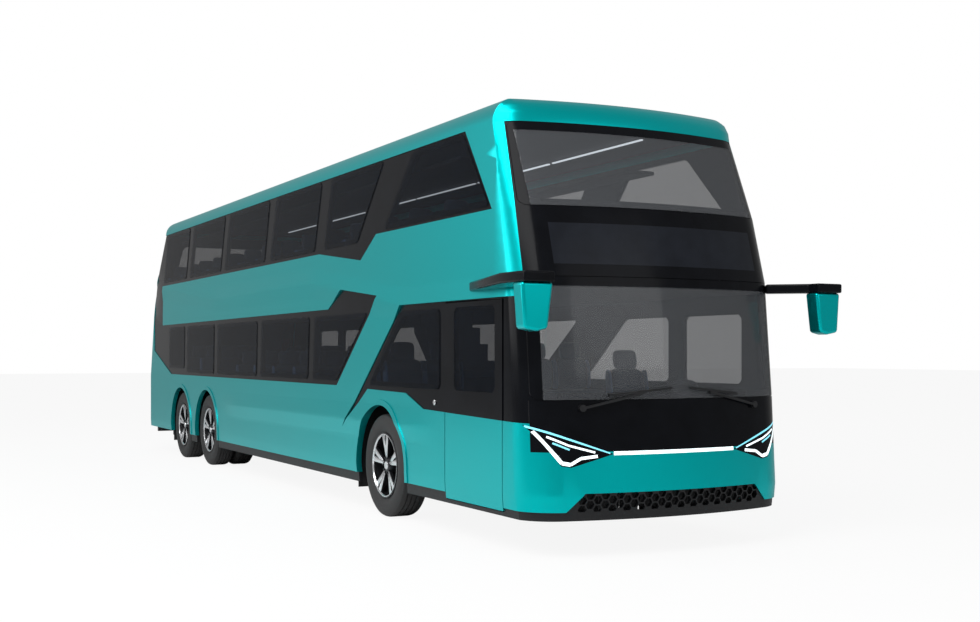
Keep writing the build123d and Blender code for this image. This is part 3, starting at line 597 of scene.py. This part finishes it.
# Light strips of one headlamp. Columns: finish, line of (distance from the middle, height), width
LAMP_STRIPS = [
    (LIT_EDGE, [(1.262, 1.055), (0.98, 0.955), (0.63, 0.838)], 0.016),
    (LIT_WHITE, [(1.225, 1.015), (1.13, 0.885), (1.035, 0.765), (0.965, 0.752)], 0.030),
    (LIT_WHITE, [(0.965, 0.752), (0.88, 0.800), (0.74, 0.815)], 0.024),
    (LIT_WHITE, [(1.14, 0.975), (0.98, 0.905), (0.76, 0.845)], 0.016),
    (LIT_EDGE, [(1.10, 0.925), (0.97, 0.870)], 0.014),
]


class COACH_OT_lamps(bpy.types.Operator):
    """Make the headlamps with their light strips, the light bar and the tail lamps"""

    bl_idname = "coach.lamps"
    bl_label = "Lamps"

    def execute(self, context):
        work = merged_copy("headlamps")
        outlines = [
            (index, strip(start, end, width))
            for index, line, width in LAMP_STRIPS
            for start, end in zip(line, line[1:])
        ]
        for _, outline in outlines:
            for side, _ in SIDES:
                placed = [(side * y, z) for y, z in outline]
                for (y1, z1), (y2, z2) in zip(placed, placed[1:] + placed[:1]):
                    cut(work, (0, y1, z1), (0, z2 - z1, y1 - y2))
        for face in work.faces:
            centre = face.calc_center_median()
            for index, outline in outlines:
                if inside(outline, abs(centre.y), centre.z) and face.normal.x > 0.1:
                    face.material_index = index
        white = glowing("lamp_white", (0.86, 0.97, 1.0), 0.95)
        blue = glowing("lamp_edge", (0.22, 0.72, 0.86), 0.7)
        piece(work, "headlamps_lit", "coach", [gloss_black(), white, blue], ["headlamps"])
        finish_node("light_bar", white)
        finish_node("tail_lamps", tail_red())
        return {"FINISHED"}


# Wheels


# Side of a tyre, from the bead to the tread. Columns: distance in from the side face, radius
TYRE_SIDE = [
    (0.034, 0.3265), (0.014, 0.350), (0.004, 0.385), (0.000, 0.425), (0.004, 0.458),
    (0.012, 0.484), (0.024, 0.502), (0.040, 0.5105), (0.060, 0.5145),
]
TREAD_RADIUS = 0.515
# Main grooves: number, distance of the outer ones from the side, half width, share at the floor
GROOVES, GROOVE_INSET, GROOVE_HALF, GROOVE_TAPER = 4, 0.075, 0.006, 0.7


def tyre_profile(width, groove):
    """Closed section of a tyre as (y, radius), its outer face at y = 0."""
    outer = [(-inset, radius) for inset, radius in TYRE_SIDE]
    tread = []
    floor_half = GROOVE_HALF * GROOVE_TAPER
    for i in range(GROOVES):
        middle = -GROOVE_INSET - (width - 2 * GROOVE_INSET) * i / (GROOVES - 1)
        tread += [
            (middle + GROOVE_HALF, TREAD_RADIUS), (middle + floor_half, TREAD_RADIUS - groove),
            (middle - floor_half, TREAD_RADIUS - groove), (middle - GROOVE_HALF, TREAD_RADIUS),
        ]
    inner = [(-width + inset, radius) for inset, radius in reversed(TYRE_SIDE)]
    return outer + tread + inner


# Finishes of a rim's faces
BRIGHT, DARK = 0, 1
# Spokes: pairs of arms, and how far each arm moves sideways on its way to the rim
SPOKE_PAIRS, SPOKE_SPREAD = 5, 0.048
# An arm's inner and outer radius, its face and depth, and how much deeper it lies at the hub
ARM_RADII, ARM_FACE_Y, ARM_DEPTH, ARM_DISH = (0.075, 0.305), -0.022, 0.034, 0.016
# An arm's half width at the hub, how much that grows to the rim, and its rounding
ARM_HALF, ARM_GROWTH, ARM_EDGE = 0.017, 0.013, 0.003


def spoke_arm(work, turn, spread):
    """One arm of a spoke: a tapered bar from the hub to the rim, bright on its face."""
    hub, rim = ARM_RADII
    verts = box_into(work, (-0.5, -ARM_DEPTH, hub), (0.5, 0, rim))
    for vert in verts:
        share = (vert.co.z - hub) / (rim - hub)
        half = ARM_HALF + ARM_GROWTH * share
        vert.co.x = (half if vert.co.x > 0 else -half) + spread * share
        vert.co.y += ARM_FACE_Y - (1 - share) * ARM_DISH
    edges = list({edge for vert in verts for edge in vert.link_edges})
    rounded = bmesh.ops.bevel(work, geom=edges, offset=ARM_EDGE, offset_type="OFFSET", segments=2,
                              profile=0.5, affect="EDGES", material=-1)
    moved = list({vert for face in rounded["faces"] for vert in face.verts})
    for face in {face for vert in moved for face in vert.link_faces}:
        face.normal_update()
        face.material_index = BRIGHT if face.normal.y > 0.9 else DARK
    bmesh.ops.rotate(work, verts=moved, cent=(0, 0, 0), matrix=Matrix.Rotation(turn, 3, "Y"))


# Rim barrel: its ends' distances in from the tyre's faces, its outer, lip and inner radius, and
# the width of its lip
BARREL_NEAR, BARREL_FAR = 0.012, 0.022
BARREL_OUTER, BARREL_LIP, BARREL_INNER, BARREL_LIP_WIDTH = 0.324, 0.314, 0.303, 0.03
# Sections of the bright ring, the hub and its cap, as (y, radius)
BRIGHT_RING = [
    (-0.014, 0.3245), (-0.014, 0.306), (-0.026, 0.298), (-0.050, 0.298), (-0.050, 0.3245),
]
HUB = [
    (-0.040, 0.001), (-0.040, 0.062), (-0.048, 0.080), (-0.080, 0.092), (-0.110, 0.092),
    (-0.110, 0.001),
]
HUB_CAP = [(-0.030, 0.001), (-0.030, 0.036), (-0.036, 0.042), (-0.045, 0.042), (-0.045, 0.001)]
HUB_STEPS = 48
NUTS, NUT_Y, NUT_CIRCLE = 10, -0.040, 0.076


def rim_work(width, inwards):
    """Rim of one wheel about the origin, its outer face at y = 0."""
    work = bmesh.new()
    steps = settings().wheel_steps
    for inward in inwards:
        near, far = -inward - BARREL_NEAR, -inward - width + BARREL_FAR
        barrel = [
            (near, BARREL_OUTER), (near, BARREL_LIP), (near - BARREL_LIP_WIDTH, BARREL_INNER),
            (far, BARREL_INNER), (far, BARREL_OUTER),
        ]
        spun(work, barrel, steps, DARK)
    spun(work, BRIGHT_RING, steps, BRIGHT)
    spun(work, HUB, HUB_STEPS, DARK)
    spun(work, HUB_CAP, HUB_STEPS, BRIGHT)
    for i in range(SPOKE_PAIRS):
        for spread in (-SPOKE_SPREAD, SPOKE_SPREAD):
            spoke_arm(work, 2 * pi * i / SPOKE_PAIRS, spread)
    for i in range(NUTS):
        turn = Matrix.Rotation(2 * pi * (i + 0.5) / NUTS, 4, "Y")
        upright = Matrix.Rotation(pi / 2, 4, "X")
        place = turn @ Matrix.Translation((0, NUT_Y, NUT_CIRCLE)) @ upright
        nut = bmesh.ops.create_cone(work, cap_ends=True, segments=6, radius1=0.008, radius2=0.007,
                                    depth=0.022, matrix=place)
        for face in {face for vert in nut["verts"] for face in vert.link_faces}:
            face.material_index = DARK
    return work


# Wheels on each side. Columns: name, tyre width, how far in each tyre's outer face lies
WHEELS = [("front", 0.30, [0.0]), ("drive", 0.28, [0.0, 0.31]), ("tag", 0.30, [0.0])]


class COACH_OT_wheels(bpy.types.Operator):
    """Make the six wheels: tyres with grooved tread and five split-spoke rims"""

    bl_idname = "coach.wheels"
    bl_label = "Wheels"

    def execute(self, context):
        for name, width, inwards in WHEELS:
            for side, hand in SIDES:
                low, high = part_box(f"tyre_{name}_{hand}")
                outer = high.y if side > 0 else low.y
                centre = Vector(((low.x + high.x) / 2, outer, (low.z + high.z) / 2))
                place = Matrix.Translation(centre)
                if side < 0:
                    place = place @ Matrix.Rotation(pi, 4, "Z")
                body = f"wheel_{name}_{hand}"
                tyre = bmesh.new()
                for inward in inwards:
                    profile = tyre_profile(width, settings().groove_depth)
                    moved = [(y - inward, radius) for y, radius in profile]
                    spun(tyre, moved, settings().wheel_steps)
                rim = rim_work(width, inwards)
                for work, kind, finishes, slot in (
                    (tyre, "tyre", [tyre_rubber()], "tyre"),
                    (rim, "rim", [machined(), dark_alloy()], "alloy"),
                ):
                    bmesh.ops.remove_doubles(work, verts=work.verts, dist=MERGE)
                    bmesh.ops.recalc_face_normals(work, faces=work.faces)
                    bmesh.ops.transform(work, matrix=place, verts=work.verts)
                    node = f"{kind}_{name}_{hand}"
                    piece(work, f"{node}_detail", body, finishes, [node])
        return {"FINISHED"}


# Seats


# Floors of the seats over the wheel boxes, on the lower deck and on the upper deck
BOX_SEAT_Z = 1.145
LOWER_Z, UPPER_Z = 0.50, 2.25
# Rows of the lower deck. Columns: seat front behind the nose, floor height, left side too
LOWER_ROWS = [
    (2.90, BOX_SEAT_Z, True), (4.10, LOWER_Z, False), (4.90, LOWER_Z, False),
    (5.70, LOWER_Z, False), (6.50, LOWER_Z, False), (7.30, LOWER_Z, True), (8.10, LOWER_Z, True),
    (9.25, BOX_SEAT_Z, True), (10.05, BOX_SEAT_Z, True), (10.85, BOX_SEAT_Z, True),
]
UPPER_FIRST, UPPER_PITCH, UPPER_COUNT = 1.65, 0.80, 14
# Length of the stair well, where the upper deck has no seats on the left
WELL = (4.00, 6.45)
# Middle of a seat pair from the coach's middle, and half a seat's width
PAIR_Y, SEAT_HALF = 0.775, 0.2175
DRIVER_SEAT = (1.23, 0.62, LOWER_Z, "lower")
# How far a padded block's edges and corners are pulled in
PAD_PULL = 0.07


def pad_form():
    """One padded block two units across: divided faces, with edges and corners pulled in."""
    made = bpy.data.meshes.get("pad_form")
    if made:
        return made
    work = bmesh.new()
    bmesh.ops.create_cube(work, size=2)
    bmesh.ops.subdivide_edges(work, edges=list(work.edges), cuts=3, use_grid_fill=True)
    for vert in work.verts:
        x, y, z = vert.co
        vert.co *= 1 - PAD_PULL * (x * x * y * y + y * y * z * z + x * x * z * z)
    made = bpy.data.meshes.new("pad_form")
    work.to_mesh(made)
    work.free()
    return made


def pad_into(work, low, high, lean=0.0, foot=0.0, index=0):
    """Adds a padded block between two corners, leaning back as it rises over its foot."""
    low, high = Vector(low), Vector(high)
    middle, half = (low + high) / 2, (high - low) / 2
    first_vert, first_face = len(work.verts), len(work.faces)
    work.from_mesh(pad_form())
    work.verts.ensure_lookup_table()
    work.faces.ensure_lookup_table()
    for vert in work.verts[first_vert:]:
        vert.co = middle + Vector((vert.co.x * half.x, vert.co.y * half.y, vert.co.z * half.z))
        vert.co.x -= lean * (vert.co.z - foot)
    for face in work.faces[first_face:]:
        face.material_index = index


# Seat heights over the floor by kind: top of the cushion, top of the back
SEAT_HEIGHTS = {"box": (0.11, 0.62), "lower": (0.47, 1.18), "upper": (0.38, 0.83)}
LEAN = 0.12
# Cushion: from and to behind the row's front, and its underside and top below its height
CUSHION_REACH, CUSHION_DEPTHS = (0.02, 0.40), (0.10, 0.005)
# Gap between a pad and the seat's side, and how far a pad reaches into the one below it
SIDE_GAP, LAP = 0.012, 0.02
# Back pad: how far its front stands over the cushion's rear, and its thickness
BACK_OVERLAP, BACK_THICK = 0.01, 0.10
# Head pad: height, share of the width, from and to behind the back's front, gap under the top
HEAD_HEIGHT, HEAD_SHARE, HEAD_REACH, HEAD_GAP = 0.18, 0.62, (0.09, 0.01), 0.01
# Edge pads: behind and ahead of the back's front, and to each side of the back's edge
EDGE_REACH, EDGE_HALVES = (0.085, 0.014), (0.016, 0.012)
# Plinths: heights by kind, from and to behind the row's front, half width and rounding
PLINTH_HEIGHTS = {"lower": 0.37, "upper": 0.28}
PLINTH_REACH, PLINTH_HALF, PLINTH_EDGE = (0.20, 0.36), 0.16, 0.008


def seat_into(work, distance, y, floor, kind):
    """One seat: cushion, leaning back, head pad and light edge pads."""
    cushion, top = (floor + rise for rise in SEAT_HEIGHTS[kind])
    front, rear = (back(distance + reach) for reach in CUSHION_REACH)
    under, face = (cushion - depth for depth in CUSHION_DEPTHS)
    half = SEAT_HALF - SIDE_GAP
    pad_into(work, (rear, y - half, under), (front, y + half, face))
    near, shoulder = rear + BACK_OVERLAP, top - HEAD_HEIGHT
    pad_into(work, (near - BACK_THICK, y - half, cushion - LAP), (near, y + half, shoulder),
             LEAN, cushion)
    head_half = half * HEAD_SHARE
    head_rear, head_front = (near - reach for reach in HEAD_REACH)
    pad_into(work, (head_rear, y - head_half, shoulder - LAP),
             (head_front, y + head_half, top - HEAD_GAP), LEAN, cushion)
    behind, ahead = EDGE_REACH
    right, left = EDGE_HALVES
    for side in (-1, 1):
        edge = y + side * half
        pad_into(work, (near - behind, edge - right, cushion),
                 (near + ahead, edge + left, shoulder - LAP), LEAN, cushion, 1)


def seat_rows():
    """Every seat as (front, y, floor, kind), by the node it stands for."""
    rows = {"lower_seats": [], "upper_seats": []}
    for front, floor, both in LOWER_ROWS:
        kind = "box" if floor > LOWER_Z else "lower"
        for side in ((-1, 1) if both else (-1,)):
            for half in (-1, 1):
                place = (front, side * PAIR_Y + half * SEAT_HALF, floor, kind)
                rows["lower_seats"].append(place)
    for i in range(UPPER_COUNT):
        front = UPPER_FIRST + UPPER_PITCH * i
        over_well = WELL[0] < front < WELL[1]
        for side in ((-1,) if over_well else (-1, 1)):
            for half in (-1, 1):
                place = (front, side * PAIR_Y + half * SEAT_HALF, UPPER_Z, "upper")
                rows["upper_seats"].append(place)
    rows["driver_seat"] = [DRIVER_SEAT]
    return rows


class COACH_OT_seats(bpy.types.Operator):
    """Make the padded passenger seats and the driver's seat"""

    bl_idname = "coach.seats"
    bl_label = "Seats"

    def execute(self, context):
        for node, places in seat_rows().items():
            work = bmesh.new()
            for front, y, floor, kind in places:
                seat_into(work, front, y, floor, kind)
            bmesh.ops.recalc_face_normals(work, faces=work.faces)
            finishes = [seat_cloth(), seat_edge()]
            pads = piece(work, f"{node}_pads", "coach", finishes, [node], crease=60)
            smooth = pads.modifiers.new("rounding", "SUBSURF")
            smooth.levels = smooth.render_levels = 1
            legs = bmesh.new()
            for front, y, floor, kind in places:
                if kind not in PLINTH_HEIGHTS:
                    continue
                fore, rear = (back(front + reach) for reach in PLINTH_REACH)
                box_into(legs, (rear, y - PLINTH_HALF, floor),
                         (fore, y + PLINTH_HALF, floor + PLINTH_HEIGHTS[kind]), PLINTH_EDGE)
            piece(legs, f"{node}_plinths", "coach", [satin_black()])
        return {"FINISHED"}


# Cabin and front fittings


# Ceiling lights in each row: number, first one behind the nose, pitch and length
LIGHTS, LIGHT_FIRST, LIGHT_PITCH, LIGHT_LENGTH = 6, 1.8, 1.8, 1.72
LIGHT_Y, LIGHT_HALF, LIGHT_Z = 0.86, 0.012, (3.715, 3.728)
# Luggage shelves: from and to behind the nose, outwards from the middle, heights and rounding
SHELF_REACH, SHELF_Y, SHELF_Z, SHELF_EDGE = (1.9, 12.2), (0.72, 1.08), (3.40, 3.44), 0.015


class COACH_OT_cabin(bpy.types.Operator):
    """Finish the cabin: decks, stairs, dashboard and ceiling light strips"""

    bl_idname = "coach.cabin"
    bl_label = "Cabin"

    def execute(self, context):
        for name in ("lower_floor", "upper_floor", "stairs", "engine_deck"):
            finish_node(name, floor_cover())
        finish_node("dashboard", dash_plastic())
        finish_node("steering_wheel", dash_plastic())
        light = glowing("ceiling_light", (0.85, 0.92, 1.0), 1.2)
        work = bmesh.new()
        under, over = LIGHT_Z
        for side, _ in SIDES:
            for i in range(LIGHTS):
                start = LIGHT_FIRST + i * LIGHT_PITCH
                box_into(work, (back(start + LIGHT_LENGTH), side * LIGHT_Y - LIGHT_HALF, under),
                         (back(start), side * LIGHT_Y + LIGHT_HALF, over))
        piece(work, "ceiling_lights", "coach", [light])
        work = bmesh.new()
        front, rear = (back(reach) for reach in SHELF_REACH)
        under, over = SHELF_Z
        for side, _ in SIDES:
            right, left = sorted(side * y for y in SHELF_Y)
            box_into(work, (rear, right, under), (front, left, over), SHELF_EDGE)
        piece(work, "luggage_shelves", "coach", [lining()])
        return {"FINISHED"}


# Backing behind the grille, in upright strips: number, rear and front behind the grille's rear,
# and how far it reaches below and stops short of the grille's top
BACKING_STRIPS, BACKING_REACH, BACKING_BELOW, BACKING_SHORT = 12, (0.014, 0.004), 0.010, 0.004
# Door button: section as (y, radius), place behind the nose, height and how far it stands out
BUTTON = [(0.0, 0.001), (0.0, 0.020), (0.004, 0.026), (0.008, 0.026), (0.008, 0.001)]
BUTTON_STEPS, BUTTON_PLACE, BUTTON_Z, BUTTON_PROUD = 32, 1.97, 1.19, 0.004


class COACH_OT_fittings(bpy.types.Operator):
    """Finish the grille, trim, wipers and flaps, and add the grille's backing and door button"""

    bl_idname = "coach.fittings"
    bl_label = "Fittings"

    def execute(self, context):
        for name in ("bumper_grille", "lower_trim", "wipers"):
            finish_node(name, satin_black())
        finish_node("mud_flaps", tyre_rubber())
        low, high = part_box("bumper_grille")
        corners = [vert.co for vert in NODES["bumper_grille"].data.vertices]
        work = bmesh.new()
        width = (high.y - low.y) / BACKING_STRIPS
        for i in range(BACKING_STRIPS):
            start = low.y + i * width
            near = min(co.x for co in corners if start - width <= co.y <= start + 2 * width)
            rear, front = (near - reach for reach in BACKING_REACH)
            box_into(work, (rear, start, low.z - BACKING_BELOW),
                     (front, start + width, high.z - BACKING_SHORT))
        piece(work, "grille_backing", "coach", [satin_black()])
        work = bmesh.new()
        spun(work, BUTTON, BUTTON_STEPS)
        bmesh.ops.recalc_face_normals(work, faces=work.faces)
        side_y = -along(FLANK, BUTTON_Z) - BUTTON_PROUD
        place = Matrix.Translation((back(BUTTON_PLACE), side_y, BUTTON_Z))
        bmesh.ops.transform(work, matrix=place, verts=work.verts)
        piece(work, "door_button", "coach", [machined()])
        return {"FINISHED"}


class COACH_OT_underside(bpy.types.Operator):
    """Finish the chassis, axles, knuckles and engine"""

    bl_idname = "coach.underside"
    bl_label = "Underside"

    def execute(self, context):
        for name in ("chassis_frame", "front_axle", "drive_axle", "tag_axle", "knuckle_right",
                     "knuckle_left"):
            finish_node(name, chassis_black())
        finish_node("engine_block", casting())
        return {"FINISHED"}


# Stage


CAMERA_PLACE = (15.10, -6.17, 1.64)
CAMERA_YAW = 0.481
HORIZON_SHIFT = 0.0428
SENSOR_WIDTH, CLIP_END = 36, 300
# World: its strength on the coach, and where the camera sees it
WORLD_LIGHT, WORLD_SEEN = 0.42, 1.0
# Floor: half its width, and the share of plain white that the camera sees in it
FLOOR_HALF, FLOOR_GLOW = 90, 0.9
# Columns: name, place, what it faces, size, watts
LAMPS = [
    ("key_light", (9.0, -9.0, 11.0), (2.0, 0.0, 1.5), 9.0, 1500),
    ("front_light", (16.0, 3.0, 6.0), (5.0, 0.0, 1.5), 6.0, 140),
    ("side_light", (-3.0, -13.0, 6.0), (-2.0, 0.0, 2.0), 8.0, 600),
]


class COACH_OT_stage(bpy.types.Operator):
    """Set the camera, the studio lights, the world and the pale floor"""

    bl_idname = "coach.stage"
    bl_label = "Stage"

    def execute(self, context):
        scene = context.scene
        scene.view_settings.view_transform = "Standard"
        camera = bpy.data.objects.new("camera", bpy.data.cameras.new("camera"))
        scene.collection.objects.link(camera)
        camera.location = CAMERA_PLACE
        toward = Vector((-cos(CAMERA_YAW), sin(CAMERA_YAW), 0))
        camera.rotation_euler = toward.to_track_quat("-Z", "Y").to_euler()
        camera.data.lens = settings().lens
        camera.data.sensor_width = SENSOR_WIDTH
        camera.data.shift_y = HORIZON_SHIFT
        camera.data.clip_end = CLIP_END
        scene.camera = camera
        for name, place, target, size, watts in LAMPS:
            lamp = bpy.data.lights.new(name, "AREA")
            lamp.size = size
            lamp.energy = watts
            light = bpy.data.objects.new(name, lamp)
            light.location = place
            toward = Vector(target) - Vector(place)
            light.rotation_euler = toward.to_track_quat("-Z", "Y").to_euler()
            scene.collection.objects.link(light)
        self.world(scene)
        self.ground(scene)
        return {"FINISHED"}

    def world(self, scene):
        """Even pale light, seen as plain white where the camera looks."""
        world = bpy.data.worlds.new("studio")
        world.use_nodes = True
        scene.world = world
        nodes, links = world.node_tree.nodes, world.node_tree.links
        back_light = nodes["Background"]
        back_light.inputs["Color"].default_value = (1, 1, 1, 1)
        path = nodes.new("ShaderNodeLightPath")
        strength = nodes.new("ShaderNodeMapRange")
        strength.inputs["To Min"].default_value = WORLD_LIGHT
        strength.inputs["To Max"].default_value = WORLD_SEEN
        links.new(path.outputs["Is Camera Ray"], strength.inputs["Value"])
        links.new(strength.outputs["Result"], back_light.inputs["Strength"])

    def ground(self, scene):
        """A wide pale floor. Its glow to the camera leaves only a faint shadow of the coach."""
        work = bmesh.new()
        bmesh.ops.create_grid(work, x_segments=1, y_segments=1, size=FLOOR_HALF)
        mesh = bpy.data.meshes.new("floor")
        work.to_mesh(mesh)
        work.free()
        finish = surface("pale_floor", (0.86, 0.86, 0.86), 0.9, grain=0.6, spread=0.01)
        nodes, links = finish.node_tree.nodes, finish.node_tree.links
        path = nodes.new("ShaderNodeLightPath")
        glow = nodes.new("ShaderNodeEmission")
        glow.inputs["Strength"].default_value = 1.0
        share = nodes.new("ShaderNodeMapRange")
        share.inputs["To Max"].default_value = FLOOR_GLOW
        mix = nodes.new("ShaderNodeMixShader")
        links.new(path.outputs["Is Camera Ray"], share.inputs["Value"])
        links.new(share.outputs["Result"], mix.inputs["Fac"])
        links.new(nodes["Principled BSDF"].outputs["BSDF"], mix.inputs[1])
        links.new(glow.outputs["Emission"], mix.inputs[2])
        links.new(mix.outputs["Shader"], nodes["Material Output"].inputs["Surface"])
        mesh.materials.append(finish)
        floor = bpy.data.objects.new("floor", mesh)
        scene.collection.objects.link(floor)


class COACH_PT_panel(bpy.types.Panel):
    """Sidebar panel with the coach's settings and steps."""

    bl_idname = "COACH_PT_panel"
    bl_label = "Double Decker Coach"
    bl_space_type = "VIEW_3D"
    bl_region_type = "UI"
    bl_category = "Coach"

    def draw(self, context):
        for name in CoachSettings.__annotations__:
            self.layout.prop(context.scene.coach, name)
        for step in STEPS:
            self.layout.operator(step.bl_idname)


STEPS = (
    COACH_OT_stage, COACH_OT_body, COACH_OT_mirrors, COACH_OT_glazing, COACH_OT_lamps,
    COACH_OT_wheels, COACH_OT_seats, COACH_OT_cabin, COACH_OT_fittings, COACH_OT_underside,
)
CLASSES = (CoachSettings, *STEPS, COACH_PT_panel)


def register():
    """Registers the classes and gives each scene its coach settings."""
    for made in CLASSES:
        bpy.utils.register_class(made)
    bpy.types.Scene.coach = PointerProperty(type=CoachSettings)


def unregister():
    """Takes the settings and the classes away again."""
    del bpy.types.Scene.coach
    for made in reversed(CLASSES):
        bpy.utils.unregister_class(made)


def main():
    register()
    for step in STEPS:
        group, name = step.bl_idname.split(".")
        getattr(getattr(bpy.ops, group), name)()


if __name__ == "__main__":
    main()
